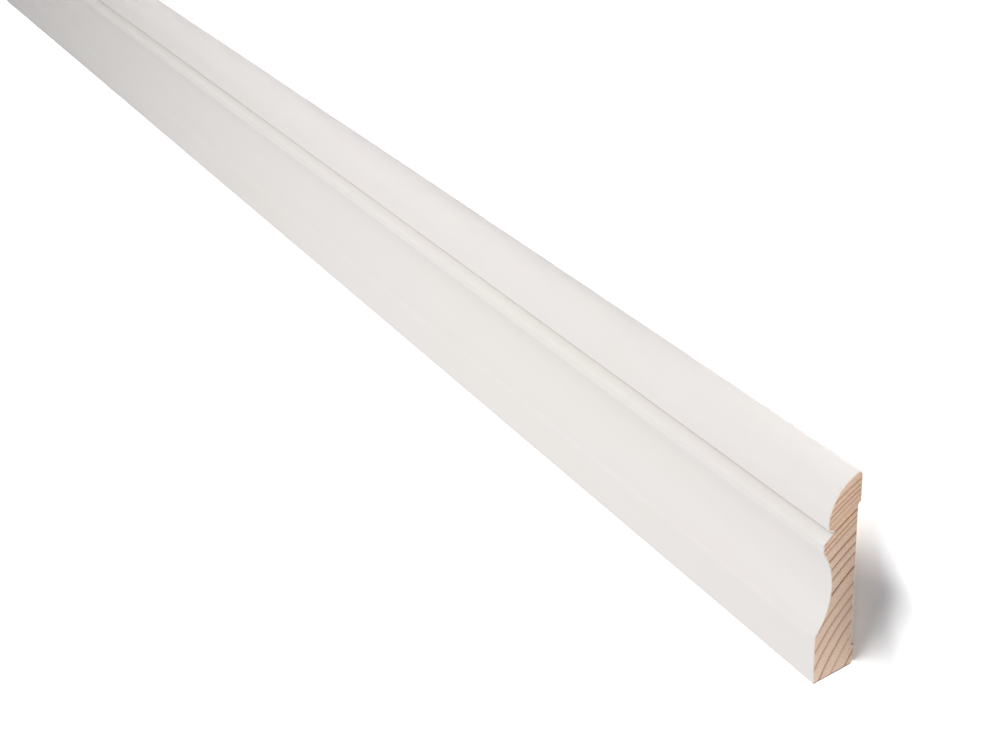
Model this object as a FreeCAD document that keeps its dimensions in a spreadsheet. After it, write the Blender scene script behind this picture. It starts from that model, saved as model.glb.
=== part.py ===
import FreeCAD, Part
import math
import os
import Sketcher

# Skirting board length: one piece of softwood moulding, planed all round and painted at the works.
#
# It lies on its hollowed back, as a loose board lies on a floor.
# X runs along the length.
# Y runs across the face, from the edge that goes down to the floor to the moulded top edge (+Y).
# Z points out of the moulded face.
# The origin is in the plane that the back rests on, in the middle of the length and of the width.

# Driving sizes in millimetres and degrees. Depths are measured back from the flat front of the
# plinth. The mouldings hang from the top edge, so a taller board has a taller plinth.
SIZES = {
    "board_length": 2400,
    "board_height": 69,
    "board_thickness": 15,
    "bottom_front_round": 0.4,
    # Round top member, down to the sharp quirk under it.
    "top_back_round": 1.2,
    "top_member_height": 16.6,
    "top_member_depth": 3.65,
    "top_member_radius": 14,
    "top_member_nose": 0.8,
    "top_member_slope": 33,
    "quirk_depth": 5.8,
    # Bead under the quirk.
    "bead_depth": 2.1,
    "bead_face": 1.45,
    "bead_slope": 37,
    "bead_upper_round": 1.5,
    "bead_lower_round": 3,
    # Long hollow between the bead and the plinth.
    "cove_depth": 5.5,
    "cove_radius": 26.5,
    "plinth_round": 4,
    # Back, hollowed between two lands so that the board sits flat on a wall.
    "bottom_back_round": 1.5,
    "bottom_land": 7,
    "top_land": 10.4,
    "back_hollow_depth": 1,
}

# Sketch references: the points of a line or arc, and the sketch's own origin and first axis.
START, END, CENTRE = 1, 2, 3
AXIS = -1


def make_sizes(doc):
    sheet = doc.addObject("Spreadsheet::Sheet", "Sizes")
    for row, (name, value) in enumerate(SIZES.items(), start=1):
        sheet.set(f"A{row}", name)
        sheet.set(f"B{row}", str(value))
        sheet.setAlias(f"B{row}", name)
    doc.recompute()
    return sheet


def section_sketch(body, name):
    # A sketch across the board: its first axis runs up the face, its second out of the back.
    planes = body.Origin.OriginFeatures
    across = next(plane for plane in planes if plane.Role == "YZ_Plane")
    sketch = body.newObject("Sketcher::SketchObject", name)
    sketch.AttachmentSupport = [(across, "")]
    sketch.MapMode = "FlatFace"
    return sketch


def line(sketch, start, end):
    segment = Part.LineSegment(FreeCAD.Vector(*start, 0), FreeCAD.Vector(*end, 0))
    return sketch.addGeometry(segment, False)


def arc(sketch, centre, radius, start_angle, end_angle):
    circle = Part.Circle(FreeCAD.Vector(*centre, 0), FreeCAD.Vector(0, 0, 1), radius)
    return sketch.addGeometry(Part.ArcOfCircle(circle, start_angle, end_angle), False)


def join(sketch, kind, first, first_point, second, second_point):
    sketch.addConstraint(Sketcher.Constraint(kind, first, first_point, second, second_point))


def measure(sketch, name, expression, kind, *references):
    # Adds a dimension at the size it is drawn, then ties it to the sheet.
    value = drawn_size(sketch, kind, references)
    index = sketch.addConstraint(Sketcher.Constraint(kind, *references, value))
    sketch.renameConstraint(index, name)
    sketch.setExpression(f"Constraints.{name}", expression)


def drawn_size(sketch, kind, references):
    if kind == "Radius":
        return sketch.Geometry[references[0]].Radius
    if kind == "Angle":
        drawn = sketch.Geometry[references[0]]
        return towards(drawn.StartPoint, drawn.EndPoint)
    step = sketch.getPoint(*references[2:]) - sketch.getPoint(*references[:2])
    return step.x if kind == "DistanceX" else step.y


def towards(start, end):
    return math.atan2(end[1] - start[1], end[0] - start[0])


def on_round(centre, radius, angle):
    return (centre[0] + radius * math.cos(angle), centre[1] + radius * math.sin(angle))


def tangent_step(centre_distance, depth_step):
    # How far apart up the face two centres lie, when one is this much deeper than the other.
    return math.sqrt(centre_distance ** 2 - depth_step ** 2)


def locate_moulding(size):
    # Where each round is centred, and the point of the quirk.
    # A place is (distance up the face from mid-height, distance out from the back).
    middle = size.board_height / 2
    front = size.board_thickness
    top_out = front - size.top_member_depth
    bead_out = front - size.bead_depth
    top_slope = math.radians(size.top_member_slope)
    bead_slope = math.radians(size.bead_slope)

    top_back = (middle - size.top_back_round, size.top_back_round)
    member_out = top_out - size.top_member_radius
    member_step = tangent_step(size.top_member_radius - size.top_back_round,
                               top_back[1] - member_out)
    quirk = (middle - size.top_member_height, front - size.quirk_depth)
    nose_out = top_out - size.top_member_nose
    nose_rise = size.top_member_nose + (nose_out - quirk[1]) * math.sin(top_slope)

    upper_out = bead_out - size.bead_upper_round
    upper_drop = size.bead_upper_round + (upper_out - quirk[1]) * math.sin(bead_slope)
    bead_upper = (quirk[0] - upper_drop / math.cos(bead_slope), upper_out)
    bead_lower = (bead_upper[0] - size.bead_face, bead_out - size.bead_lower_round)

    cove_out = front - size.cove_depth + size.cove_radius
    cove_step = tangent_step(size.cove_radius + size.bead_lower_round,
                             cove_out - bead_lower[1])
    cove = (bead_lower[0] - cove_step, cove_out)
    plinth_out = front - size.plinth_round
    plinth_step = tangent_step(size.cove_radius + size.plinth_round, cove_out - plinth_out)
    return {
        "top_back": top_back,
        "member": (top_back[0] - member_step, member_out),
        "nose": (quirk[0] + nose_rise / math.cos(top_slope), nose_out),
        "quirk": quirk,
        "bead_upper": bead_upper,
        "bead_lower": bead_lower,
        "cove": cove,
        "plinth_round": (cove[0] - plinth_step, plinth_out),
        "bottom_front": (size.bottom_front_round - middle, front - size.bottom_front_round),
        "bottom_back": (size.bottom_back_round - middle, size.bottom_back_round),
    }


def draw_moulding(sketch, size):
    # Draws the section near enough for the constraints to pull it true.
    place = locate_moulding(size)
    front = size.board_thickness
    foot = -size.board_height / 2
    bead_out = front - size.bead_depth
    bead_slope = math.radians(size.bead_slope)
    to_back = -math.pi / 2
    to_front = math.pi / 2
    to_foot = math.pi
    under_turn = to_foot - math.radians(size.top_member_slope)
    under_end = on_round(place["nose"], size.top_member_nose, under_turn)
    bevel_end = on_round(place["bead_upper"], size.bead_upper_round, bead_slope)

    def round_between(name, radius, start_angle, end_angle):
        return arc(sketch, place[name], radius, start_angle, end_angle)

    def aim(name, other):
        return towards(place[name], place[other])

    return {
        "back": line(sketch, (place["bottom_back"][0], 0), (place["top_back"][0], 0)),
        "top_back": round_between("top_back", size.top_back_round,
                                  to_back, aim("member", "top_back")),
        "member": round_between("member", size.top_member_radius,
                                aim("member", "top_back"), aim("member", "nose")),
        "nose": round_between("nose", size.top_member_nose, aim("member", "nose"), under_turn),
        "under": line(sketch, place["quirk"], under_end),
        "bevel": line(sketch, place["quirk"], bevel_end),
        "bead_upper": round_between("bead_upper", size.bead_upper_round, bead_slope, to_front),
        "bead_face": line(sketch, (place["bead_upper"][0], bead_out),
                          (place["bead_lower"][0], bead_out)),
        "bead_lower": round_between("bead_lower", size.bead_lower_round,
                                    to_front, aim("bead_lower", "cove")),
        "cove": round_between("cove", size.cove_radius,
                              aim("cove", "plinth_round"), aim("cove", "bead_lower")),
        "plinth_round": round_between("plinth_round", size.plinth_round,
                                      aim("plinth_round", "cove"), to_front),
        "plinth": line(sketch, (place["plinth_round"][0], front),
                       (place["bottom_front"][0], front)),
        "bottom_front": round_between("bottom_front", size.bottom_front_round,
                                      to_front, to_foot),
        "bottom": line(sketch, (foot, place["bottom_front"][1]),
                       (foot, place["bottom_back"][1])),
        "bottom_back": round_between("bottom_back", size.bottom_back_round,
                                     to_foot, to_foot + to_front),
    }


def join_moulding(sketch, part):
    # Every member runs smoothly into the next, except at the quirk, which is sharp.
    smooth = [
        ("back", END, "top_back", START),
        ("top_back", END, "member", START),
        ("member", END, "nose", START),
        ("nose", END, "under", END),
        ("bevel", END, "bead_upper", START),
        ("bead_upper", END, "bead_face", START),
        ("bead_face", END, "bead_lower", START),
        ("bead_lower", END, "cove", END),
        ("cove", START, "plinth_round", START),
        ("plinth_round", END, "plinth", START),
        ("plinth", END, "bottom_front", START),
        ("bottom_front", END, "bottom", START),
        ("bottom", END, "bottom_back", START),
        ("bottom_back", END, "back", START),
    ]
    for first, first_point, second, second_point in smooth:
        join(sketch, "Tangent", part[first], first_point, part[second], second_point)
    join(sketch, "Coincident", part["under"], START, part["bevel"], START)
    for name in ("back", "bead_face", "plinth"):
        sketch.addConstraint(Sketcher.Constraint("Horizontal", part[name]))
    sketch.addConstraint(Sketcher.Constraint("Vertical", part["bottom"]))
    sketch.addConstraint(Sketcher.Constraint("PointOnObject", part["back"], START, AXIS))


def measure_moulding(sketch, part):
    radii = {
        "top_back": "top_back_round",
        "member": "top_member_radius",
        "nose": "top_member_nose",
        "bead_upper": "bead_upper_round",
        "bead_lower": "bead_lower_round",
        "cove": "cove_radius",
        "plinth_round": "plinth_round",
        "bottom_front": "bottom_front_round",
        "bottom_back": "bottom_back_round",
    }
    for name, cell in radii.items():
        measure(sketch, f"{name}_radius", f"Sizes.{cell}", "Radius", part[name])

    origin = (AXIS, START)
    foot = (part["bottom"], START)
    face = (part["plinth"], START)
    quirk = (part["bevel"], START)
    measure(sketch, "foot_place", "Sizes.board_height / 2", "DistanceX", *foot, *origin)
    measure(sketch, "top_place", "Sizes.board_height / 2 - Sizes.top_back_round",
            "DistanceX", *origin, part["top_back"], CENTRE)
    measure(sketch, "face_place", "Sizes.board_thickness", "DistanceY", *origin, *face)
    measure(sketch, "cove_place", "Sizes.cove_radius - Sizes.cove_depth",
            "DistanceY", *face, part["cove"], CENTRE)
    measure(sketch, "bead_place", "Sizes.bead_depth",
            "DistanceY", part["bead_face"], START, *face)
    measure(sketch, "bead_width", "Sizes.bead_face",
            "DistanceX", part["bead_face"], END, part["bead_face"], START)
    measure(sketch, "quirk_place", "Sizes.quirk_depth", "DistanceY", *quirk, *face)
    measure(sketch, "quirk_drop", "Sizes.top_member_height - Sizes.top_back_round",
            "DistanceX", *quirk, part["top_back"], CENTRE)
    measure(sketch, "member_place", "Sizes.top_member_depth + Sizes.top_member_radius",
            "DistanceY", part["member"], CENTRE, *face)
    measure(sketch, "bevel_angle", "(90 + Sizes.bead_slope) * 1 deg", "Angle", part["bevel"])
    measure(sketch, "under_angle", "(90 - Sizes.top_member_slope) * 1 deg",
            "Angle", part["under"])


def draw_hollow(sketch, size):
    # The back hollow has a quarter-round shoulder at each land, as its cutter leaves it.
    middle = size.board_height / 2
    depth = size.back_hollow_depth
    lower = size.bottom_land - middle
    upper = middle - size.top_land
    outward = math.pi / 2
    return {
        "mouth": line(sketch, (lower, 0), (upper, 0)),
        "upper_shoulder": arc(sketch, (upper - depth, 0), depth, 0, outward),
        "ceiling": line(sketch, (upper - depth, depth), (lower + depth, depth)),
        "lower_shoulder": arc(sketch, (lower + depth, 0), depth, outward, math.pi),
    }


def constrain_hollow(sketch, part):
    mouth = part["mouth"]
    upper = part["upper_shoulder"]
    lower = part["lower_shoulder"]
    join(sketch, "Coincident", mouth, END, upper, START)
    join(sketch, "Tangent", upper, END, part["ceiling"], START)
    join(sketch, "Tangent", part["ceiling"], END, lower, START)
    join(sketch, "Coincident", lower, END, mouth, START)
    for shape, point in ((mouth, START), (mouth, END), (upper, CENTRE), (lower, CENTRE)):
        sketch.addConstraint(Sketcher.Constraint("PointOnObject", shape, point, AXIS))
    sketch.addConstraint(Sketcher.Constraint("Equal", upper, lower))
    measure(sketch, "hollow_depth", "Sizes.back_hollow_depth", "Radius", upper)
    measure(sketch, "lower_edge", "Sizes.board_height / 2 - Sizes.bottom_land",
            "DistanceX", mouth, START, AXIS, START)
    measure(sketch, "upper_edge", "Sizes.board_height / 2 - Sizes.top_land",
            "DistanceX", AXIS, START, mouth, END)


def make_skirting_board(doc, size):
    body = doc.addObject("PartDesign::Body", "SkirtingBoard")
    body.Label = "skirting_board"

    section = section_sketch(body, "moulded_section")
    moulding = draw_moulding(section, size)
    join_moulding(section, moulding)
    measure_moulding(section, moulding)
    length = body.newObject("PartDesign::Pad", "moulded_length")
    length.Profile = section
    length.SideType = "Symmetric"
    length.setExpression("Length", "Sizes.board_length")
    doc.recompute()

    hollow_section = section_sketch(body, "hollow_section")
    constrain_hollow(hollow_section, draw_hollow(hollow_section, size))
    hollow = body.newObject("PartDesign::Pocket", "back_hollow")
    hollow.Profile = hollow_section
    hollow.SideType = "Symmetric"
    hollow.setExpression("Length", "Sizes.board_length")
    doc.recompute()

    cut_volume = Part.Face(hollow_section.Shape.Wires[0]).Area * size.board_length
    left_out = length.Shape.Volume - hollow.Shape.Volume
    if abs(left_out - cut_volume) > 0.001 * cut_volume:
        raise RuntimeError("The back hollow isn't cut along the whole board")
    return body


def check_document(doc, bodies):
    for item in doc.Objects:
        if "Invalid" in item.State or "Error" in item.State:
            raise RuntimeError(f"{item.Name} failed: {item.State}")
        if item.isDerivedFrom("Sketcher::SketchObject") and not item.FullyConstrained:
            raise RuntimeError(f"{item.Name} isn't fully constrained")
    for body in bodies:
        if body.Shape.isNull() or not body.Shape.isValid():
            raise RuntimeError(f"{body.Label} has no valid shape")


def main():
    doc = FreeCAD.newDocument("SkirtingBoard")
    size = make_sizes(doc)
    bodies = [make_skirting_board(doc, size)]
    doc.recompute()
    check_document(doc, bodies)

    os.makedirs("parts", exist_ok=True)
    for body in bodies:
        body.Shape.exportStep(f"parts/{body.Label}.step")
        box = body.Shape.BoundBox
        print(f"{body.Label}: {box.XLength:.3f} x {box.YLength:.3f} x {box.ZLength:.3f} mm,"
              f" {body.Shape.Volume / 1000:.1f} cm3")


main()
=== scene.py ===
import math
import random

import bpy
from mathutils import Matrix, Vector
from mathutils.geometry import delaunay_2d_cdt


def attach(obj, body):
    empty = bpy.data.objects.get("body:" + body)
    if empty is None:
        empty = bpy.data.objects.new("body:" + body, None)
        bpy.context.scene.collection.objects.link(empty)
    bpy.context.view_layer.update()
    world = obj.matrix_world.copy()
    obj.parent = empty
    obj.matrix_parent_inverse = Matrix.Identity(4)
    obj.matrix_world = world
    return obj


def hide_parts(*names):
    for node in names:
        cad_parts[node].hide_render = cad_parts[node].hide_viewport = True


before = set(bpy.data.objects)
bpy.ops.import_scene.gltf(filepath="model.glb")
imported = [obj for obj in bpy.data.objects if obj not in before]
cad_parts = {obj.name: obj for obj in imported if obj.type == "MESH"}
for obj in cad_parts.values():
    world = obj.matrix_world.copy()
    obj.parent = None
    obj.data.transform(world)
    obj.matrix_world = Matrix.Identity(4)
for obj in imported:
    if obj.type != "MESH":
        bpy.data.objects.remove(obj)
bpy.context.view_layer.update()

MM = 0.001

# The board and its section, in millimetres. The section is drawn with y up the face from the
# middle of the board's height, and z from the back to the face.
BOARD_LENGTH = 2400.0
BOARD_HEIGHT = 69.0
BOARD_THICKNESS = 15.0
TOP_BACK_ROUND = 1.2
TOP_MEMBER_HEIGHT = 16.6
TOP_MEMBER_DEPTH = 3.65
TOP_MEMBER_RADIUS = 14.0
TOP_MEMBER_NOSE = 0.8
TOP_MEMBER_SLOPE = math.radians(33)
QUIRK_DEPTH = 5.8
QUIRK_PAINT_RADIUS = 0.12
BEAD_DEPTH = 2.1
BEAD_FACE = 1.45
BEAD_SLOPE = math.radians(37)
BEAD_UPPER_ROUND = 1.5
BEAD_LOWER_ROUND = 3.0
COVE_DEPTH = 5.5
COVE_RADIUS = 26.5
PLINTH_ROUND = 4.0
BOTTOM_FRONT_ROUND = 0.4
BOTTOM_BACK_ROUND = 1.5
BOTTOM_LAND = 7.0
TOP_LAND = 10.4
BACK_HOLLOW_DEPTH = 1.0

HALF_LENGTH = BOARD_LENGTH / 2
HALF_HEIGHT = BOARD_HEIGHT / 2
QUIRK_ROOT = (HALF_HEIGHT - TOP_MEMBER_HEIGHT, BOARD_THICKNESS - QUIRK_DEPTH)

# How finely the board is drawn, in millimetres. A sharp corner of the outline moves no further than
# one over the mitre limit.
CURVE_ERROR = 0.004
LARGEST_TURN = math.radians(8)
FLAT_STEP = 2.5
LENGTH_STEP = 15.0
LENGTH_STEPS_BY_END = (1, 3, 7)
SAME_POINT = 1e-6
MITRE_LIMIT = 0.4
CRISP_ANGLE = math.radians(28)

# What the points carry for the finishes, in millimetres: the radius of a round that counts as
# wholly tight, and a distance that stands for far away.
TIGHT_RADIUS = 0.8
FAR_FROM_QUIRK = 9.0

# The sawn ends and the eased edge and lip of paint round them, in millimetres. The jitter and the
# margin are shares of the grid, and the wave turns by so many radians for each millimetre.
ARRIS_EASE = 0.08
LIP_WIDTH = 0.25
ON_THE_RIM = 1e-4
END_GRID = 0.5
END_JITTER = 0.1
END_MARGIN = 0.6
END_SEED = 7
END_WAVE = 0.03
END_WAVE_UP = 0.9
END_WAVE_ACROSS = 0.35

# Where the surfaces lie on the sheet that their finishes are baked to, as shares of the sheet.
SHEET_MARGIN = 0.01
SHEET_WIDTH = 0.98
SHEET_LONG_START = 0.41
SHEET_LONG_HEIGHT = 0.58
SHEET_END_MARGIN = 0.05
SHEET_END_WIDTH = 0.86
SHEET_END_STARTS = {1: 0.01, -1: 0.21}

# The pith that the growth rings lie round, in millimetres from the middle of the near end's back,
# and how far it drifts for each unit of length from there. The rings wander and ripple by so many
# millimetres, and each has its late wood before its dark line.
PITH_BELOW = -56.7
PITH_BEHIND = -37.3
PITH_DRIFT_UP = -0.004
PITH_DRIFT_BACK = -0.003
RING_WANDER = 0.9
RING_RIPPLE = 0.25
LATE_WOOD_WIDTH = 1.6
LATE_WOOD_SHARE = 0.6
FIRST_RING_WIDTH = 4
LINE_SHARPNESS = 2.6
SEASON_SCALE = 0.33

# The growth rings as the sawn end shows them: distance of each ring's dark line from the pith in
# millimetres, and how dark it is.
RINGS = (
    (43.3, 0.5),
    (46.8, 0.6),
    (51.4, 0.3),
    (55.3, 0.6),
    (59.3, 0.5),
    (62.5, 0.5),
    (66.0, 0.5),
    (70.7, 0.95),
    (74.7, 0.6),
    (77.8, 0.65),
    (81.0, 0.8),
    (84.4, 0.4),
    (85.9, 0.75),
    (87.9, 0.95),
    (90.0, 0.2),
    (91.7, 0.35),
    (93.2, 0.7),
    (94.6, 0.65),
    (96.5, 0.6),
    (99.9, 0.4),
    (102.7, 0.5),
)

# How large the lumps of each noise are, in metres along the board, up its face and out of it. The
# rays' are in millimetres from the pith, radians round it and metres along it.
WANDER_SIZES = (0.4, 0.018, 0.018)
RIPPLE_SIZES = (0.05, 0.0012, 0.0012)
FIBRE_SIZES = (0.012, 0.00018, 0.00018)
STREAK_SIZES = (0.09, 0.0016, 0.0016)
PAINT_PATCH_SIZES = (0.12, 0.03, 0.03)
PAINT_SATIN_SIZES = (0.03, 0.004, 0.004)
PAINT_PEEL_SIZES = (0.0011, 0.0009, 0.0009)
END_TEAR_SIZES = (0.01, 0.0004, 0.0004)
END_PATCH_SIZES = (0.02, 0.003, 0.0035)
END_FRAY_SIZES = (0.01, 0.002, 0.002)
END_SAW_SIZES = (0.01, 0.02, 0.0005)
END_RAY_SIZES = (2.2, 0.0035, 1.0)

# Most of a noise's values lie within the first of these, and nearly all within the second.
NOISE_MIDDLE = (0.35, 0.65)
NOISE_REACH = (0.3, 0.7)

# Specks: their spacing and size in metres, and the share of the places that hold one.
PAINT_NIBS = {"Spacing": 0.006, "Share": 0.25, "Size": 0.00022}
BACK_RESIN = {"Spacing": 0.004, "Share": 0.3, "Size": 0.0002}
END_DUST = {"Spacing": 0.0016, "Share": 0.35, "Size": 0.00035}

# Bands of painted light and painted shade on the face: where each comes in and goes out, in metres
# up the face from its middle, and how strong it is between. The bead's band is painted light and
# the cove's is painted shade.
BEAD_LIGHT_IN = (0.0146, 0.0158)
BEAD_LIGHT_OUT = (0.017, 0.0176)
BEAD_LIGHT_SHARE = 0.5
COVE_SHADE_IN = (0.001, 0.01)
COVE_SHADE_OUT = (0.0118, 0.013)
COVE_SHADE_SHARE = 0.12

# Where paint is thin: from lightly to tightly rounded, from one streak to the next, and how much
# of the rings' dark lines comes through.
THIN_IF_TIGHT = (0.3, 1.0)
THIN_IN_STREAKS = (0.42, 0.62)
THIN_ON_RINGS = 0.06

# Veils of another colour over the finishes: two values of what each veil follows, and how strong
# it is at both. They follow, in turn, millimetres from the quirk's root, metres up the face (two),
# millimetres from the pith, shares of the lip's width (two) and the values of a noise. The quirk's
# veil is painted shade in its root, and the veil at the foot of the end is a painted shadow.
QUIRK_SHADE_VEIL = (0.66, 0.88, 0.5, 0.0)
OVERSPRAY_VEIL = (HALF_HEIGHT * MM - 0.0035, HALF_HEIGHT * MM + 0.0012, 0.0, 1.0)
FOOT_SHADOW_VEIL = (-HALF_HEIGHT * MM + 0.0003, -HALF_HEIGHT * MM + 0.0006, 0.85, 0.0)
OUTER_RING_VEIL = (74.0, 92.0, 0.0, 0.36)
LIP_VEIL = (0.6, 1.0, 0.8, 0.0)
BACK_LIP_VEIL = (0.5, 1.0, 0.5, 0.0)
FIBRE_VEIL = (0.35, 0.75, 0.0, 0.18)
RAY_VEIL = (0.5, 0.8, 0.0, 0.45)
TEAR_DARK_VEIL = (0.42, 0.7, 0.0, 0.65)
TEAR_PALE_VEIL = (0.5, 0.3, 0.0, 0.4)

# How strongly other effects tint the wood, up to all of it.
BACK_SUMMER_TINT = 0.3
BACK_RESIN_TINT = 0.5
END_SUMMER_TINT = 0.5
END_LINE_TINT = 1.4
END_DUST_TINT = 0.4

# How far the overspray frays, in metres, and how wide the lip of paint is, in millimetres.
OVERSPRAY_FRAY = 0.005
LIP_PAINT = (0.25, 0.5)

# The finishes' relief: the height of one, in metres, and then the height of each part in it.
PAINT_RELIEF = 0.00002
PAINT_PEEL_HEIGHT = 0.22
PAINT_FIBRE_HEIGHT = 0.10
PAINT_RING_HEIGHT = 0.25
PAINT_NIB_HEIGHT = 0.9
BACK_RELIEF = 0.00004
BACK_RING_HEIGHT = 1.0
BACK_FIBRE_HEIGHT = 0.5
END_RELIEF = 0.00006
END_SAW_HEIGHT = 0.5
END_TEAR_HEIGHT = 0.6
END_RING_HEIGHT = 0.5

# How rough each finish is, from its smoothest to its roughest, and its specular level.
PAINT_ROUGHNESS = (0.40, 0.52)
PAINT_SPECULAR = 0.4
BACK_ROUGHNESS = (0.55, 0.72)
END_ROUGHNESS = (0.7, 0.9)
END_SPECULAR = 0.25
FLOOR_ROUGHNESS = 0.9
FLOOR_SPECULAR = 0.0

# The camera stands where the photograph was taken from, once the board lies on its back. Its lens
# and sensor are in millimetres, and the rest is in metres.
CAMERA_PLACE = Vector((1.4394, 0.27877, 0.23607))
CAMERA_FORWARD = Vector((-0.743558, -0.533218, -0.403484))
CAMERA_UP = Vector((-0.419657, 0.841904, -0.339244))
CAMERA_LENS = 54.817
CAMERA_SENSOR = 36.0
CAMERA_NEAREST = 0.02
CAMERA_FARTHEST = 400
FLOOR_REACH = 60.0

# How strongly the sky lights things, next to how it looks, and the spots' radius in metres.
SKY_STRENGTH = 0.2
SPOT_RADIUS = 0.01


def written(red, green, blue):
    """A colour given as it is seen on a screen, out of 255, turned to light by the sRGB curve."""
    parts = []
    for value in (red, green, blue):
        share = value / 255
        if share <= 0.04045:
            parts.append(share / 12.92)
        else:
            parts.append(((share + 0.055) / 1.055) ** 2.4)
    return (*parts, 1.0)


SKY_SEEN = (1, 1, 1, 1)
SKY_LIGHT = written(246, 252, 255)
FLOOR_WHITE = written(237, 237, 238)
FLOOR_DIM = written(214, 214, 216)
PAINT_WHITE = written(241, 235, 232)
PAINT_WARM = written(240, 235, 230)
PAINT_THIN = written(236, 229, 222)
# Painted shade for the root of the quirk and the top of the cove, and painted light for the bead's slope.
PAINTED_SHADE = written(184, 181, 178)
PAINTED_LIGHT = written(251, 247, 240)
PAINT_LIP = written(226, 216, 207)
PINE_PALE = written(222, 196, 158)
PINE_PINK = written(214, 182, 146)
PINE_SUMMER = written(190, 144, 98)
PINE_DARK = written(160, 110, 68)
END_TAN = written(214, 191, 168)
END_PINK = written(213, 187, 171)
END_PALE = written(230, 215, 204)
END_SUMMER = written(182, 142, 106)
END_DARK = written(126, 62, 20)
# Painted shadow along the foot of the sawn end.
END_PAINTED_SHADOW = written(112, 80, 58)


# The section's outline


def aim(start, end):
    """Angle of the way from one point to another, from +y towards +z."""
    return math.atan2(end[1] - start[1], end[0] - start[0])


def across(distance, reach):
    """How far one point is from another along one axis, when they are this far apart in all and
    this far along the other axis."""
    return math.sqrt(distance * distance - reach * reach)


def arc(centre, radius, start, stop):
    finest = 2 * math.acos(max(1 - CURVE_ERROR / radius, 0))
    turns = max(2, math.ceil(abs(stop - start) / min(finest, LARGEST_TURN)))
    points = []
    for step in range(turns + 1):
        angle = start + (stop - start) * step / turns
        y = centre[0] + radius * math.cos(angle)
        z = centre[1] + radius * math.sin(angle)
        points.append((y, z))
    return points


def section_runs():
    """The outline from the top of the back, over the face and round to the back again, as
    (finish, curves) runs that share their end points. A round's name stands for its centre."""
    face = BOARD_THICKNESS
    up = math.pi / 2

    top_back = (HALF_HEIGHT - TOP_BACK_ROUND, TOP_BACK_ROUND)
    member_z = face - TOP_MEMBER_DEPTH - TOP_MEMBER_RADIUS
    member_reach = TOP_MEMBER_RADIUS - TOP_BACK_ROUND
    member = (top_back[0] - across(member_reach, TOP_BACK_ROUND - member_z), member_z)

    # The nose touches the slope that runs up from the quirk, and the round of the top member.
    sine = math.sin(TOP_MEMBER_SLOPE)
    cosine = math.cos(TOP_MEMBER_SLOPE)
    foot = (QUIRK_ROOT[0] + TOP_MEMBER_NOSE * cosine, QUIRK_ROOT[1] - TOP_MEMBER_NOSE * sine)
    away = (foot[0] - member[0], foot[1] - member[1])
    along = away[0] * sine + away[1] * cosine
    nose_reach = TOP_MEMBER_RADIUS - TOP_MEMBER_NOSE
    travel = math.sqrt(along**2 - away[0] ** 2 - away[1] ** 2 + nose_reach**2) - along
    nose = (foot[0] + travel * sine, foot[1] + travel * cosine)

    bead_upper_z = face - BEAD_DEPTH - BEAD_UPPER_ROUND
    slope_run = (bead_upper_z - QUIRK_ROOT[1]) * math.sin(BEAD_SLOPE) + BEAD_UPPER_ROUND
    bead_upper = (QUIRK_ROOT[0] - slope_run / math.cos(BEAD_SLOPE), bead_upper_z)
    bead_lower = (bead_upper[0] - BEAD_FACE, face - BEAD_DEPTH - BEAD_LOWER_ROUND)
    cove_z = face - COVE_DEPTH + COVE_RADIUS
    cove_reach = across(COVE_RADIUS + BEAD_LOWER_ROUND, cove_z - bead_lower[1])
    cove = (bead_lower[0] - cove_reach, cove_z)
    plinth_z = face - PLINTH_ROUND
    plinth = (cove[0] - across(COVE_RADIUS + PLINTH_ROUND, cove_z - plinth_z), plinth_z)
    bottom_front = (BOTTOM_FRONT_ROUND - HALF_HEIGHT, face - BOTTOM_FRONT_ROUND)
    bottom_back = (BOTTOM_BACK_ROUND - HALF_HEIGHT, BOTTOM_BACK_ROUND)
    lower_land = BOTTOM_LAND - HALF_HEIGHT
    upper_land = HALF_HEIGHT - TOP_LAND
    hollow = BACK_HOLLOW_DEPTH

    # Paint gathers in the bottom of the quirk, where the two slopes meet.
    opening = (TOP_MEMBER_SLOPE + BEAD_SLOPE) / 2
    middle = up + (BEAD_SLOPE - TOP_MEMBER_SLOPE) / 2
    rise = QUIRK_PAINT_RADIUS / math.sin(opening)
    gather = (QUIRK_ROOT[0] + rise * math.cos(middle), QUIRK_ROOT[1] + rise * math.sin(middle))

    face_curves = [
        arc(top_back, TOP_BACK_ROUND, -up, aim(member, top_back)),
        arc(member, TOP_MEMBER_RADIUS, aim(member, top_back), aim(member, nose)),
        arc(nose, TOP_MEMBER_NOSE, aim(member, nose), math.pi - TOP_MEMBER_SLOPE),
        arc(gather, QUIRK_PAINT_RADIUS, -TOP_MEMBER_SLOPE, BEAD_SLOPE - math.pi),
        arc(bead_upper, BEAD_UPPER_ROUND, BEAD_SLOPE, up),
        arc(bead_lower, BEAD_LOWER_ROUND, up, aim(bead_lower, cove)),
        arc(cove, COVE_RADIUS, aim(cove, bead_lower), aim(cove, plinth)),
        arc(plinth, PLINTH_ROUND, aim(plinth, cove), up),
        arc(bottom_front, BOTTOM_FRONT_ROUND, up, math.pi),
        arc(bottom_back, BOTTOM_BACK_ROUND, math.pi, 3 * up),
    ]
    back_curves = [
        [(lower_land, 0.0)],
        arc((lower_land + hollow, 0.0), hollow, math.pi, up),
        arc((upper_land - hollow, 0.0), hollow, up, 0.0),
        [(top_back[0], 0.0)],
    ]
    return [("face", face_curves), ("back", back_curves)]


def flat_steps(start, end):
    """Points between two others, no further apart than the step for flat stretches."""
    cuts = max(1, math.ceil(math.dist(start, end) / FLAT_STEP))
    points = []
    for cut in range(1, cuts):
        share = cut / cuts
        y = start[0] + (end[0] - start[0]) * share
        z = start[1] + (end[1] - start[1]) * share
        points.append((y, z))
    return points


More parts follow.
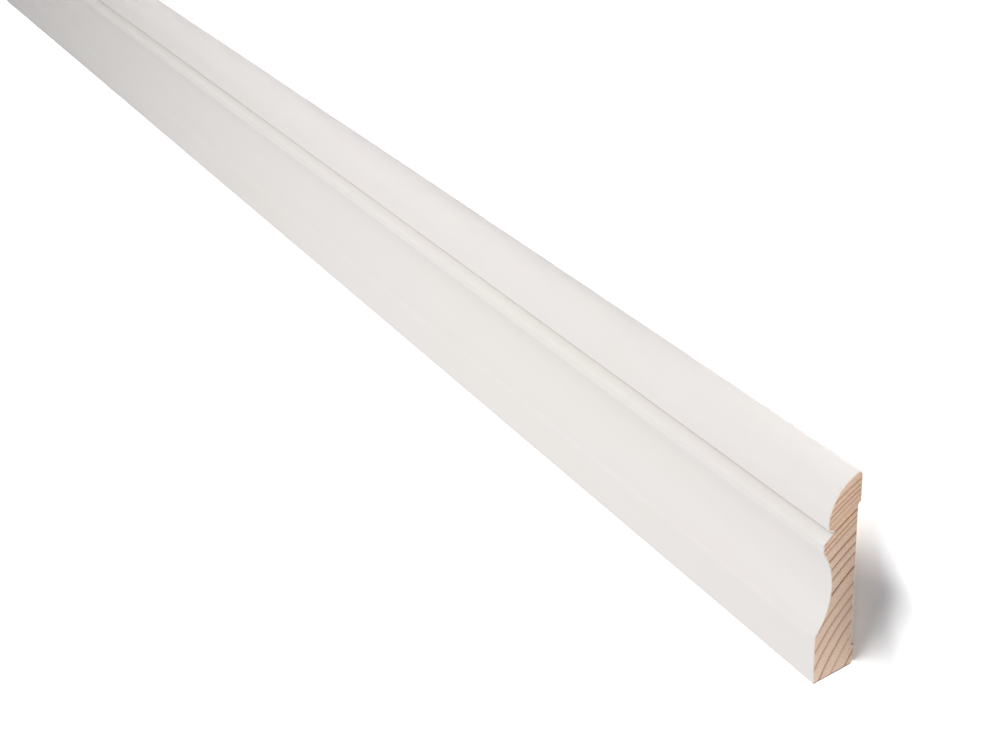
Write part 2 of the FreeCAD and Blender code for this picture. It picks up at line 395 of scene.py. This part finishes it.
def section_outline():
    """Points of the outline in order, and the finish of the strip that follows each of them."""
    points = []
    finishes = []
    for finish, curves in section_runs():
        for curve in curves:
            for point in curve:
                if points:
                    if math.dist(points[-1], point) < SAME_POINT:
                        continue
                    steps = flat_steps(points[-1], point)
                    points += steps
                    finishes += [finish] * (len(steps) + 1)
                points.append(point)
    # The last point is the first one again.
    points.pop()
    return points, finishes


def strips_at(points, index):
    """The strips of the outline before and after one of its points."""
    before = Vector(points[index]) - Vector(points[index - 1])
    after = Vector(points[(index + 1) % len(points)]) - Vector(points[index])
    return before, after


def outward(points):
    """The outward direction at each point, long enough to move both strips there by one."""
    directions = []
    for index in range(len(points)):
        before, after = strips_at(points, index)
        first = Vector((before.y, -before.x)).normalized()
        second = Vector((after.y, -after.x)).normalized()
        middle = (first + second).normalized()
        directions.append(middle / max(middle.dot(first), MITRE_LIMIT))
    return directions


def tightness(points):
    """How tightly each point is rounded outwards: one from the tight radius down, none if flat."""
    values = []
    for index in range(len(points)):
        before, after = strips_at(points, index)
        turn = before.angle_signed(after)
        bend = -turn / (0.5 * (before.length + after.length))
        values.append(min(max(TIGHT_RADIUS * bend, 0.0), 1.0))
    return values


def inset(points, directions, distance):
    moved = []
    for point, direction in zip(points, directions):
        moved.append((point[0] - direction.x * distance, point[1] - direction.y * distance))
    return moved


def inside(point, points):
    y, z = point
    held = False
    last = points[-1]
    for place in points:
        if (place[1] > z) != (last[1] > z):
            crossing = place[0] + (z - place[1]) * (last[0] - place[0]) / (last[1] - place[1])
            if y < crossing:
                held = not held
        last = place
    return held


def gap_to(point, points):
    return min(math.dist(point, place) for place in points)


def end_points(rim, chance):
    """Points spread over the sawn end, inside the rim."""
    spots = []
    rows = math.ceil(BOARD_THICKNESS / END_GRID)
    columns = math.ceil(BOARD_HEIGHT / END_GRID)
    for row in range(1, rows):
        for column in range(1, columns):
            y = -HALF_HEIGHT + (column + 0.5 * (row % 2)) * END_GRID
            z = row * END_GRID
            y += chance.uniform(-END_JITTER, END_JITTER) * END_GRID
            z += chance.uniform(-END_JITTER, END_JITTER) * END_GRID
            if inside((y, z), rim) and gap_to((y, z), rim) > END_MARGIN * END_GRID:
                spots.append((y, z))
    return spots


def stations():
    """Where the section is repeated along the board, closer together near its ends."""
    near = [HALF_LENGTH - ARRIS_EASE] + [HALF_LENGTH - step for step in LENGTH_STEPS_BY_END]
    start = HALF_LENGTH - LENGTH_STEP
    count = math.ceil(2 * start / LENGTH_STEP)
    middle = [start - 2 * start * step / count for step in range(count + 1)]
    places = near + middle + [-place for place in reversed(near)]
    return list(reversed(places))


# The board


class Skin:
    """The board's surface while it is put together: its points with what they carry, and its faces
    with their finish and their place on the bake sheet."""

    def __init__(self):
        self.points = []
        self.tight = []
        self.from_paint = []
        self.from_back = []
        self.from_quirk = []
        self.faces = []
        self.slots = []
        self.sheet = []


def sheet_long(x, run):
    """Where a point of the long surfaces lies on the bake sheet, by its share of the outline."""
    left = SHEET_MARGIN + SHEET_WIDTH * (x / BOARD_LENGTH + 0.5)
    return (left, SHEET_LONG_START + SHEET_LONG_HEIGHT * run)


def sheet_end(y, z, side):
    left = SHEET_END_MARGIN + (y / BOARD_HEIGHT + 0.5) * SHEET_END_WIDTH
    return (left, SHEET_END_STARTS[side] + z / BOARD_HEIGHT * SHEET_END_WIDTH)


def outline_shares(outline):
    """How far round the outline each point is, as a share, and one at the end."""
    runs = [0.0]
    for index, point in enumerate(outline):
        runs.append(runs[-1] + math.dist(point, outline[(index + 1) % len(outline)]))
    return [run / runs[-1] for run in runs]


def add_long_surfaces(skin, outline, finishes, places):
    """The face, the edges and the back, from the far end's edge to the near end's."""
    count = len(outline)
    tight = tightness(outline)
    from_quirk = [math.dist(point, QUIRK_ROOT) for point in outline]
    for x in places:
        skin.points += [(x, y, z) for y, z in outline]
        skin.tight += tight
        skin.from_paint += [0.0] * count
        skin.from_back += [0.0] * count
        skin.from_quirk += from_quirk

    runs = outline_shares(outline)
    slot_of = {"face": 0, "back": 1}
    for station in range(len(places) - 1):
        first = station * count
        second = first + count
        for index in range(count):
            following = (index + 1) % count
            skin.faces.append((first + index, first + following, second + following, second + index))
            skin.slots.append(slot_of[finishes[index]])
            skin.sheet.append(sheet_long(places[station], runs[index]))
            skin.sheet.append(sheet_long(places[station], runs[index + 1]))
            skin.sheet.append(sheet_long(places[station + 1], runs[index + 1]))
            skin.sheet.append(sheet_long(places[station + 1], runs[index]))


def fill_rim(rim):
    """Points of the sawn end, the rim's own first, and the triangles between them."""
    spots = end_points(rim, random.Random(END_SEED))
    flat = [Vector(point) for point in rim + spots]
    loop = [(index, (index + 1) % len(rim)) for index in range(len(rim))]
    filled = delaunay_2d_cdt(flat, loop, [], 1, SAME_POINT)
    return filled[0], filled[2]


def wave(y, z, side):
    """How far the saw's cut dips below the end."""
    return END_WAVE * (1 + math.sin(END_WAVE_UP * y + END_WAVE_ACROSS * z * side)) / 2


def add_ends(skin, outline, finishes, last_station):
    """The sawn ends, each with an eased edge and a lip that joins it to the long surfaces."""
    count = len(outline)
    directions = outward(outline)
    edge = inset(outline, directions, ARRIS_EASE)
    rim = inset(outline, directions, ARRIS_EASE + LIP_WIDTH)
    painted = [point for point, finish in zip(outline, finishes) if finish == "face"]
    planed = [point for point, finish in zip(outline, finishes) if finish == "back"]
    fill_points, fill_faces = fill_rim(rim)
    for side, outer_start in ((-1, 0), (1, last_station * count)):
        edge_start = len(skin.points)
        skin.points += [(side * HALF_LENGTH, y, z) for y, z in edge]
        rim_start = len(skin.points)
        for y, z in fill_points:
            dip = wave(y, z, side) if gap_to((y, z), rim) > ON_THE_RIM else 0.0
            skin.points.append((side * (HALF_LENGTH - dip), y, z))
        for point in skin.points[edge_start:]:
            skin.tight.append(0.0)
            skin.from_paint.append(gap_to(point[1:], painted))
            skin.from_back.append(gap_to(point[1:], planed))
            skin.from_quirk.append(FAR_FROM_QUIRK)

        rings = []
        for index in range(count):
            following = (index + 1) % count
            for inner, outer in ((edge_start, outer_start), (rim_start, edge_start)):
                rings.append((outer + index, outer + following, inner + following, inner + index))
        for triangle in fill_faces:
            rings.append(tuple(rim_start + corner for corner in triangle))
        for ring in rings:
            corners = ring if side > 0 else ring[::-1]
            skin.faces.append(corners)
            skin.slots.append(2)
            for corner in corners:
                skin.sheet.append(sheet_end(skin.points[corner][1], skin.points[corner][2], side))


def make_board():
    outline, finishes = section_outline()
    places = stations()
    skin = Skin()
    add_long_surfaces(skin, outline, finishes, places)
    add_ends(skin, outline, finishes, len(places) - 1)

    mesh = bpy.data.meshes.new("moulded_board")
    mesh.from_pydata([Vector(point) * MM for point in skin.points], [], skin.faces)
    mesh.polygons.foreach_set("material_index", skin.slots)
    mesh.polygons.foreach_set("use_smooth", [True] * len(skin.faces))
    bake_sheet = mesh.uv_layers.new(name="OFBake")
    bake_sheet.data.foreach_set("uv", [value for place in skin.sheet for value in place])
    measures = {
        "tight_edge": skin.tight,
        "from_paint": skin.from_paint,
        "from_back": skin.from_back,
        "from_quirk": skin.from_quirk,
    }
    for name, values in measures.items():
        attribute = mesh.attributes.new(name, "FLOAT", "POINT")
        attribute.data.foreach_set("value", values)
    mesh.set_sharp_from_angle(angle=CRISP_ANGLE)
    return mesh


# Nodes


def join(tree, value, socket):
    if isinstance(value, bpy.types.NodeSocket):
        tree.links.new(value, socket)
    else:
        socket.default_value = value


def add(tree, kind, inputs=None, **settings):
    """A node with its settings, and its inputs set to a value or joined to a socket."""
    node = tree.nodes.new(kind)
    for name, value in settings.items():
        setattr(node, name, value)
    for name, value in (inputs or {}).items():
        join(tree, value, node.inputs[name])
    return node


def calc(tree, operation, *values, clamp=False):
    node = tree.nodes.new("ShaderNodeMath")
    node.operation = operation
    node.use_clamp = clamp
    for value, socket in zip(values, node.inputs):
        join(tree, value, socket)
    return node.outputs["Value"]


def fade(tree, value, start, stop, low=0.0, high=1.0):
    """From low at start to high at stop, smoothly, and level beyond them."""
    inputs = {"From Min": start, "From Max": stop, "To Min": low, "To Max": high, "Value": value}
    node = add(tree, "ShaderNodeMapRange", inputs, interpolation_type="SMOOTHSTEP")
    return node.outputs["Result"]


def band(tree, value, way_in, way_out, share):
    """The share given, faded in over one pair of values and out over another, none outside."""
    rise = fade(tree, value, *way_in, 0.0, share)
    return calc(tree, "MULTIPLY", rise, fade(tree, value, *way_out, 1.0, 0.0))


def sway(tree, base, value, reach):
    """The base moved to and fro by a noise, by half the reach at most."""
    return calc(tree, "MULTIPLY_ADD", calc(tree, "SUBTRACT", value, 0.5), reach, base)


def heap(tree, *layers):
    """The height of layers on each other, each given as what it follows and how high that is."""
    total = 0.0
    for value, height in layers:
        total = calc(tree, "MULTIPLY_ADD", value, height, total)
    return total


def part(tree, vector, axis):
    """One of a vector's three parts."""
    return add(tree, "ShaderNodeSeparateXYZ", {0: vector}).outputs[axis]


def stretch(tree, vector, sizes):
    """The vector measured in the sizes given, so that a noise grows to those sizes."""
    scale = tuple(1 / size for size in sizes)
    node = add(tree, "ShaderNodeVectorMath", {0: vector, 1: scale}, operation="MULTIPLY")
    return node.outputs["Vector"]


def noise(tree, vector, sizes, detail=2.0, roughness=0.5):
    """Noise about a half, with lumps of the sizes given along the three axes."""
    inputs = {"Scale": 1.0, "Detail": detail, "Roughness": roughness}
    inputs["Vector"] = stretch(tree, vector, sizes)
    return add(tree, "ShaderNodeTexNoise", inputs).outputs["Fac"]


def mix(tree, factor, first, second):
    node = add(tree, "ShaderNodeMix", data_type="RGBA")
    sockets = [socket for socket in node.inputs if socket.enabled]
    for value, socket in zip((factor, first, second), sockets):
        join(tree, value, socket)
    return next(socket for socket in node.outputs if socket.enabled)


def veil(tree, colour, value, spread, tone):
    """The colour under a veil of another tone, as strong as its spread makes it at this value."""
    return mix(tree, fade(tree, value, *spread), colour, tone)


def tint(tree, colour, value, strength, tone):
    """The colour drawn towards another tone by a value times a strength."""
    return mix(tree, calc(tree, "MULTIPLY", value, strength, clamp=True), colour, tone)


def new_group(name, inputs, outputs):
    group = bpy.data.node_groups.new(name, "ShaderNodeTree")
    for socket, kind in inputs:
        group.interface.new_socket(name=socket, in_out="INPUT", socket_type=kind)
    for socket, kind in outputs:
        group.interface.new_socket(name=socket, in_out="OUTPUT", socket_type=kind)
    entry = group.nodes.new("NodeGroupInput").outputs
    result = group.nodes.new("NodeGroupOutput").inputs
    return group, entry, result


def use_group(tree, group, inputs):
    node = tree.nodes.new("ShaderNodeGroup")
    node.node_tree = group
    for name, value in inputs.items():
        join(tree, value, node.inputs[name])
    return node.outputs


# Effects that more than one finish uses


def make_growth_rings():
    """The wood's rings through the whole board, round a pith that drifts along it."""
    vector = (("Place", "NodeSocketVector"),)
    outputs = (
        ("Dark Line", "NodeSocketFloat"),
        ("Summer Shade", "NodeSocketFloat"),
        ("Season", "NodeSocketFloat"),
        ("From Pith", "NodeSocketVector"),
    )
    tree, entry, result = new_group("growth_rings", vector, outputs)
    place = entry["Place"]
    parts = add(tree, "ShaderNodeSeparateXYZ", {0: place}).outputs
    from_end = calc(tree, "SUBTRACT", HALF_LENGTH * MM, parts["X"])
    pith_y = calc(tree, "MULTIPLY_ADD", from_end, PITH_DRIFT_UP, PITH_BELOW * MM)
    pith_z = calc(tree, "MULTIPLY_ADD", from_end, PITH_DRIFT_BACK, PITH_BEHIND * MM)
    reach_y = calc(tree, "SUBTRACT", parts["Y"], pith_y)
    reach_z = calc(tree, "SUBTRACT", parts["Z"], pith_z)
    squares = calc(tree, "MULTIPLY_ADD", reach_y, reach_y, calc(tree, "MULTIPLY", reach_z, reach_z))
    radius = calc(tree, "DIVIDE", calc(tree, "SQRT", squares), MM)
    angle = calc(tree, "ARCTAN2", reach_z, reach_y)
    radius = sway(tree, radius, noise(tree, place, WANDER_SIZES, detail=1.0), RING_WANDER)
    radius = sway(tree, radius, noise(tree, place, RIPPLE_SIZES), RING_RIPPLE)

    shade = 0.0
    last = RINGS[0][0] - FIRST_RING_WIDTH
    for ring, darkness in RINGS:
        width = min(LATE_WOOD_SHARE * (ring - last), LATE_WOOD_WIDTH)
        inputs = {"From Min": ring - width, "From Max": ring, "To Min": 0.0, "Value": radius}
        inputs["To Max"] = darkness ** (1 / LINE_SHARPNESS)
        rise = add(tree, "ShaderNodeMapRange", inputs).outputs["Result"]
        before = calc(tree, "LESS_THAN", radius, ring)
        shade = calc(tree, "MAXIMUM", calc(tree, "MULTIPLY", rise, before), shade)
        last = ring
    join(tree, calc(tree, "POWER", shade, LINE_SHARPNESS), result["Dark Line"])
    join(tree, shade, result["Summer Shade"])
    inputs = {"W": radius, "Scale": SEASON_SCALE}
    season = add(tree, "ShaderNodeTexNoise", inputs, noise_dimensions="1D")
    join(tree, season.outputs["Fac"], result["Season"])
    polar = add(tree, "ShaderNodeCombineXYZ", {0: radius, 1: angle, 2: from_end})
    join(tree, polar.outputs[0], result["From Pith"])
    return tree


def make_fibres():
    """Fine fibres along the wood, and the softer streaks among them."""
    inputs = (("Place", "NodeSocketVector"),)
    outputs = (("Fibre", "NodeSocketFloat"), ("Streak", "NodeSocketFloat"))
    tree, entry, result = new_group("fibres", inputs, outputs)
    fibre = noise(tree, entry["Place"], FIBRE_SIZES, roughness=0.6)
    streak = noise(tree, entry["Place"], STREAK_SIZES)
    join(tree, fibre, result["Fibre"])
    join(tree, streak, result["Streak"])
    return tree


def make_specks():
    """Scattered specks, such as dust under the paint. Share is the part of the places filled."""
    inputs = (
        ("Place", "NodeSocketVector"),
        ("Spacing", "NodeSocketFloat"),
        ("Share", "NodeSocketFloat"),
        ("Size", "NodeSocketFloat"),
    )
    tree, entry, result = new_group("specks", inputs, (("Speck", "NodeSocketFloat"),))
    scale = calc(tree, "DIVIDE", 1.0, entry["Spacing"])
    cells = add(tree, "ShaderNodeTexVoronoi", {"Vector": entry["Place"], "Scale": scale})
    size = calc(tree, "DIVIDE", entry["Size"], entry["Spacing"])
    reach = calc(tree, "DIVIDE", cells.outputs["Distance"], size)
    lump = calc(tree, "SUBTRACT", 1.0, reach, clamp=True)
    chance = add(tree, "ShaderNodeSeparateColor", {0: cells.outputs["Color"]}).outputs[0]
    held = calc(tree, "LESS_THAN", chance, entry["Share"])
    join(tree, calc(tree, "MULTIPLY", lump, held), result["Speck"])
    return tree


# Finishes


def new_material(name):
    material = bpy.data.materials.new(name)
    material.use_nodes = True
    tree = material.node_tree
    shader = tree.nodes["Principled BSDF"]
    place = tree.nodes.new("ShaderNodeTexCoord").outputs["Object"]
    return material, tree, shader, place


def measure(tree, name):
    """A value the board's points carry, in millimetres unless it is a share."""
    return add(tree, "ShaderNodeAttribute", attribute_name=name).outputs["Fac"]


def roughen(tree, shader, value, roughness):
    """Sets the roughness between the smoothest and the roughest given, by a noise."""
    join(tree, fade(tree, value, *NOISE_REACH, *roughness), shader.inputs["Roughness"])


def raise_surface(tree, shader, height, relief):
    """Gives the surface a fine relief, so high where the height is one."""
    bump = add(tree, "ShaderNodeBump", {"Height": height, "Distance": relief, "Strength": 1.0})
    join(tree, bump.outputs["Normal"], shader.inputs["Normal"])


def make_white_paint(rings, fibres, specks):
    material, tree, shader, place = new_material("white_paint")
    shader.inputs["Specular IOR Level"].default_value = PAINT_SPECULAR
    ring = use_group(tree, rings, {"Place": place})
    fibre = use_group(tree, fibres, {"Place": place})
    nib = use_group(tree, specks, {"Place": place, **PAINT_NIBS})

    # Paint is thin on tight rounds and over the hard lines of the wood.
    tight = fade(tree, measure(tree, "tight_edge"), *THIN_IF_TIGHT)
    thin = calc(tree, "MULTIPLY", tight, fade(tree, fibre["Streak"], *THIN_IN_STREAKS))
    thin = calc(tree, "MULTIPLY_ADD", ring["Dark Line"], THIN_ON_RINGS, thin, clamp=True)
    patches = noise(tree, place, PAINT_PATCH_SIZES)
    colour = veil(tree, PAINT_WHITE, patches, NOISE_MIDDLE, PAINT_WARM)
    colour = mix(tree, thin, colour, PAINT_THIN)

    # Painted light brightens the slope of the bead, painted shade darkens the top of the hollow under
    # it, and a line of painted shade lies in the root of the quirk.
    up_face = part(tree, place, "Y")
    bead = band(tree, up_face, BEAD_LIGHT_IN, BEAD_LIGHT_OUT, BEAD_LIGHT_SHARE)
    colour = mix(tree, bead, colour, PAINTED_LIGHT)
    cove = band(tree, up_face, COVE_SHADE_IN, COVE_SHADE_OUT, COVE_SHADE_SHARE)
    colour = mix(tree, cove, colour, PAINTED_SHADE)
    colour = veil(tree, colour, measure(tree, "from_quirk"), QUIRK_SHADE_VEIL, PAINTED_SHADE)
    join(tree, colour, shader.inputs["Base Color"])
    roughen(tree, shader, noise(tree, place, PAINT_SATIN_SIZES, detail=3.0), PAINT_ROUGHNESS)

    height = heap(
        tree,
        (noise(tree, place, PAINT_PEEL_SIZES, detail=1.0), PAINT_PEEL_HEIGHT),
        (fibre["Fibre"], PAINT_FIBRE_HEIGHT),
        (ring["Summer Shade"], PAINT_RING_HEIGHT),
        (nib["Speck"], PAINT_NIB_HEIGHT),
    )
    raise_surface(tree, shader, height, PAINT_RELIEF)
    return material


def make_planed_back(rings, fibres, specks):
    material, tree, shader, place = new_material("planed_back")
    ring = use_group(tree, rings, {"Place": place})
    fibre = use_group(tree, fibres, {"Place": place})
    resin = use_group(tree, specks, {"Place": place, **BACK_RESIN})
    colour = mix(tree, ring["Season"], PINE_PALE, PINE_PINK)
    colour = tint(tree, colour, ring["Summer Shade"], BACK_SUMMER_TINT, PINE_SUMMER)
    colour = mix(tree, ring["Dark Line"], colour, PINE_DARK)
    colour = veil(tree, colour, fibre["Fibre"], FIBRE_VEIL, PINE_SUMMER)
    colour = tint(tree, colour, resin["Speck"], BACK_RESIN_TINT, PINE_DARK)

    edge = calc(tree, "ABSOLUTE", part(tree, place, "Y"))
    edge = calc(tree, "MULTIPLY_ADD", fibre["Streak"], OVERSPRAY_FRAY, edge)
    colour = veil(tree, colour, edge, OVERSPRAY_VEIL, PAINT_WHITE)
    join(tree, colour, shader.inputs["Base Color"])
    roughen(tree, shader, fibre["Fibre"], BACK_ROUGHNESS)

    height = heap(
        tree,
        (ring["Summer Shade"], BACK_RING_HEIGHT),
        (fibre["Fibre"], BACK_FIBRE_HEIGHT),
    )
    raise_surface(tree, shader, height, BACK_RELIEF)
    return material


def make_sawn_end(rings, fibres, specks):
    material, tree, shader, place = new_material("sawn_end")
    shader.inputs["Specular IOR Level"].default_value = END_SPECULAR
    ring = use_group(tree, rings, {"Place": place})
    dust = use_group(tree, specks, {"Place": place, **END_DUST})
    ray = noise(tree, ring["From Pith"], END_RAY_SIZES, roughness=0.6)
    torn = noise(tree, place, END_TEAR_SIZES, roughness=0.7)
    colour = veil(tree, END_TAN, noise(tree, place, END_PATCH_SIZES), NOISE_MIDDLE, END_PINK)
    from_pith = part(tree, ring["From Pith"], "X")
    colour = veil(tree, colour, from_pith, OUTER_RING_VEIL, END_SUMMER)
    colour = veil(tree, colour, ray, RAY_VEIL, END_PALE)
    colour = tint(tree, colour, ring["Summer Shade"], END_SUMMER_TINT, END_SUMMER)
    colour = veil(tree, colour, torn, TEAR_DARK_VEIL, END_SUMMER)
    colour = veil(tree, colour, torn, TEAR_PALE_VEIL, END_PALE)
    colour = tint(tree, colour, ring["Dark Line"], END_LINE_TINT, END_DARK)
    colour = tint(tree, colour, dust["Speck"], END_DUST_TINT, END_PALE)

    # A lip of paint, wider in some places, stands round the end, fainter along the back. A painted
    # shadow darkens the foot of the end.
    frayed = noise(tree, place, END_FRAY_SIZES)
    width = fade(tree, frayed, *NOISE_MIDDLE, *LIP_PAINT)
    lip = calc(tree, "DIVIDE", measure(tree, "from_paint"), width)
    colour = veil(tree, colour, lip, LIP_VEIL, PAINT_LIP)
    back_lip = calc(tree, "DIVIDE", measure(tree, "from_back"), width)
    colour = veil(tree, colour, back_lip, BACK_LIP_VEIL, PAINT_LIP)
    colour = veil(tree, colour, part(tree, place, "Y"), FOOT_SHADOW_VEIL, END_PAINTED_SHADOW)
    join(tree, colour, shader.inputs["Base Color"])
    roughen(tree, shader, torn, END_ROUGHNESS)

    height = heap(
        tree,
        (noise(tree, place, END_SAW_SIZES, roughness=0.6), END_SAW_HEIGHT),
        (torn, END_TEAR_HEIGHT),
        (ring["Summer Shade"], END_RING_HEIGHT),
    )
    raise_surface(tree, shader, height, END_RELIEF)
    return material


# The board in the scene


def put_in_scene(name, data):
    item = bpy.data.objects.new(name, data)
    bpy.context.scene.collection.objects.link(item)
    return item


board = put_in_scene("moulded_board", make_board())
growth_rings = make_growth_rings()
fibres = make_fibres()
specks = make_specks()
board.data.materials.append(make_white_paint(growth_rings, fibres, specks))
board.data.materials.append(make_planed_back(growth_rings, fibres, specks))
board.data.materials.append(make_sawn_end(growth_rings, fibres, specks))
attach(board, "root")
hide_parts("skirting_board")


# The camera, the floor and the light


def put_camera():
    data = bpy.data.cameras.new("camera")
    data.sensor_width = CAMERA_SENSOR
    data.lens = CAMERA_LENS
    data.clip_start = CAMERA_NEAREST
    data.clip_end = CAMERA_FARTHEST
    camera = put_in_scene("camera", data)
    forward = CAMERA_FORWARD.normalized()
    right = forward.cross(CAMERA_UP).normalized()
    turn = Matrix((right, right.cross(forward), -forward)).transposed().to_4x4()
    camera.matrix_world = Matrix.Translation(CAMERA_PLACE) @ turn
    bpy.context.scene.camera = camera


def seen_directly(tree):
    """One for what the camera sees, also in a gloss or through glass, and none for other light."""
    path = tree.nodes.new("ShaderNodeLightPath").outputs
    seen = calc(tree, "MAXIMUM", path["Is Camera Ray"], path["Is Glossy Ray"])
    return calc(tree, "MAXIMUM", seen, path["Is Transmission Ray"])


def make_floor():
    reach = FLOOR_REACH
    corners = [(-reach, -reach, 0), (reach, -reach, 0), (reach, reach, 0), (-reach, reach, 0)]
    mesh = bpy.data.meshes.new("floor")
    mesh.from_pydata(corners, [], [(0, 1, 2, 3)])
    material = bpy.data.materials.new("white_floor")
    material.use_nodes = True
    tree = material.node_tree
    shader = tree.nodes["Principled BSDF"]
    # The floor is lit beyond white, so it sends less light on to the board than is seen.
    colour = mix(tree, seen_directly(tree), FLOOR_DIM, FLOOR_WHITE)
    join(tree, colour, shader.inputs["Base Color"])
    shader.inputs["Roughness"].default_value = FLOOR_ROUGHNESS
    shader.inputs["Specular IOR Level"].default_value = FLOOR_SPECULAR
    mesh.materials.append(material)
    return mesh


def put_sky():
    """White where it is seen, and dimmer and cooler where it lights things."""
    world = bpy.data.worlds.new("studio")
    bpy.context.scene.world = world
    world.use_nodes = True
    tree = world.node_tree
    sky = tree.nodes["Background"]
    seen = seen_directly(tree)
    join(tree, mix(tree, seen, SKY_LIGHT, SKY_SEEN), sky.inputs["Color"])
    join(tree, fade(tree, seen, 0.0, 1.0, SKY_STRENGTH, 1.0), sky.inputs["Strength"])


def put_lamp(name, kind, lit, energy):
    """A lamp that lights one thing alone, as flags in a studio keep it off the rest."""
    lamp = put_in_scene(name, bpy.data.lights.new(name, kind))
    lamp.data.energy = energy
    group = bpy.data.collections.new(name + "_lights")
    group.objects.link(lit)
    lamp.light_linking.receiver_collection = group
    return lamp


def turn_lamp(lamp, way):
    """Turns the lamp so that its light travels the way given."""
    lamp.rotation_mode = "QUATERNION"
    lamp.rotation_quaternion = Vector(way).to_track_quat("-Z", "Y")


def put_window(name, lit, heading, fall, spread, strength):
    """A far, soft lamp. Its light heads so many degrees from +x towards +y and falls so steeply."""
    lamp = put_lamp(name, "SUN", lit, strength)
    lamp.data.angle = math.radians(spread)
    heading = math.radians(heading)
    fall = math.radians(fall)
    flat = math.cos(fall)
    turn_lamp(lamp, (flat * math.cos(heading), flat * math.sin(heading), -math.sin(fall)))


def put_softbox(name, lit, place, target, size, watts):
    lamp = put_lamp(name, "AREA", lit, watts)
    lamp.data.shape = "DISK"
    lamp.data.size = size
    lamp.location = place
    turn_lamp(lamp, Vector(target) - Vector(place))


def put_gap_lamp(name, lit, place, length, width, watts):
    """A flat lamp that shines straight down into the gap under the board."""
    lamp = put_lamp(name, "AREA", lit, watts)
    lamp.data.shape = "RECTANGLE"
    lamp.data.size = length
    lamp.data.size_y = width
    lamp.location = place


def put_spot(name, lit, place, target, cone, watts):
    """A soft pool of light, dimming evenly from its middle to nothing at the cone's edge."""
    lamp = put_lamp(name, "SPOT", lit, watts)
    lamp.data.spot_size = math.radians(cone)
    lamp.data.spot_blend = 1.0
    lamp.data.shadow_soft_size = SPOT_RADIUS
    lamp.location = place
    turn_lamp(lamp, Vector(target) - Vector(place))


put_camera()
floor = put_in_scene("floor", make_floor())
put_sky()

# Far lamps light the floor white, and leave it in shade only where the board hides the two strong
# ones. A spot lights it beyond the near end, and a flat lamp in the gap under that end.
put_window("floor_lamp_low", floor, heading=53, fall=16, spread=40, strength=9.0)
put_window("floor_lamp_top", floor, heading=-28, fall=16, spread=40, strength=8.2)
put_window("floor_lamp_front", floor, heading=180, fall=12, spread=20, strength=2.7)
put_spot(
    "floor_lamp_corner", floor, place=(1.55, 0.055, 0.14), target=(1.197, 0.034, 0), cone=10.3, watts=13.0
)
put_gap_lamp(
    "floor_lamp_gap", floor, place=(1.1888, -0.0017, 0.00095), length=0.02, width=0.05, watts=0.001
)

# Lamps light the near half of the board from above, from beyond its top and bottom edges and from
# before its end. Two pools of light and a lamp before the far end light the half that the
# photograph doesn't show.
put_softbox(
    "board_lamp_near", board, place=(1.01, 0.0, 0.65), target=(1.01, 0, 0), size=0.6, watts=2.78
)
put_softbox("board_lamp_top", board, place=(1.1, 0.98, 0.4), target=(1.1, 0, 0), size=0.7, watts=3.15)
put_softbox("board_lamp_low", board, place=(1.1, -0.8, 0.35), target=(1.1, 0, 0), size=0.6, watts=0.95)
put_softbox(
    "board_lamp_end", board, place=(1.75, -0.14, 0.08), target=(1.2, -0.01, 0), size=0.25, watts=1.6
)
put_spot("board_lamp_middle", board, place=(-0.2, 0.1, 1.1), target=(-0.2, 0, 0), cone=56, watts=26)
put_spot("board_lamp_far", board, place=(-0.95, 0.1, 1.1), target=(-0.95, 0, 0), cone=62, watts=28)
put_softbox(
    "board_lamp_far_end", board, place=(-1.75, -0.12, 0.08), target=(-1.2, -0.01, 0), size=0.25, watts=2.0
)

bpy.context.scene.view_settings.view_transform = "Standard"
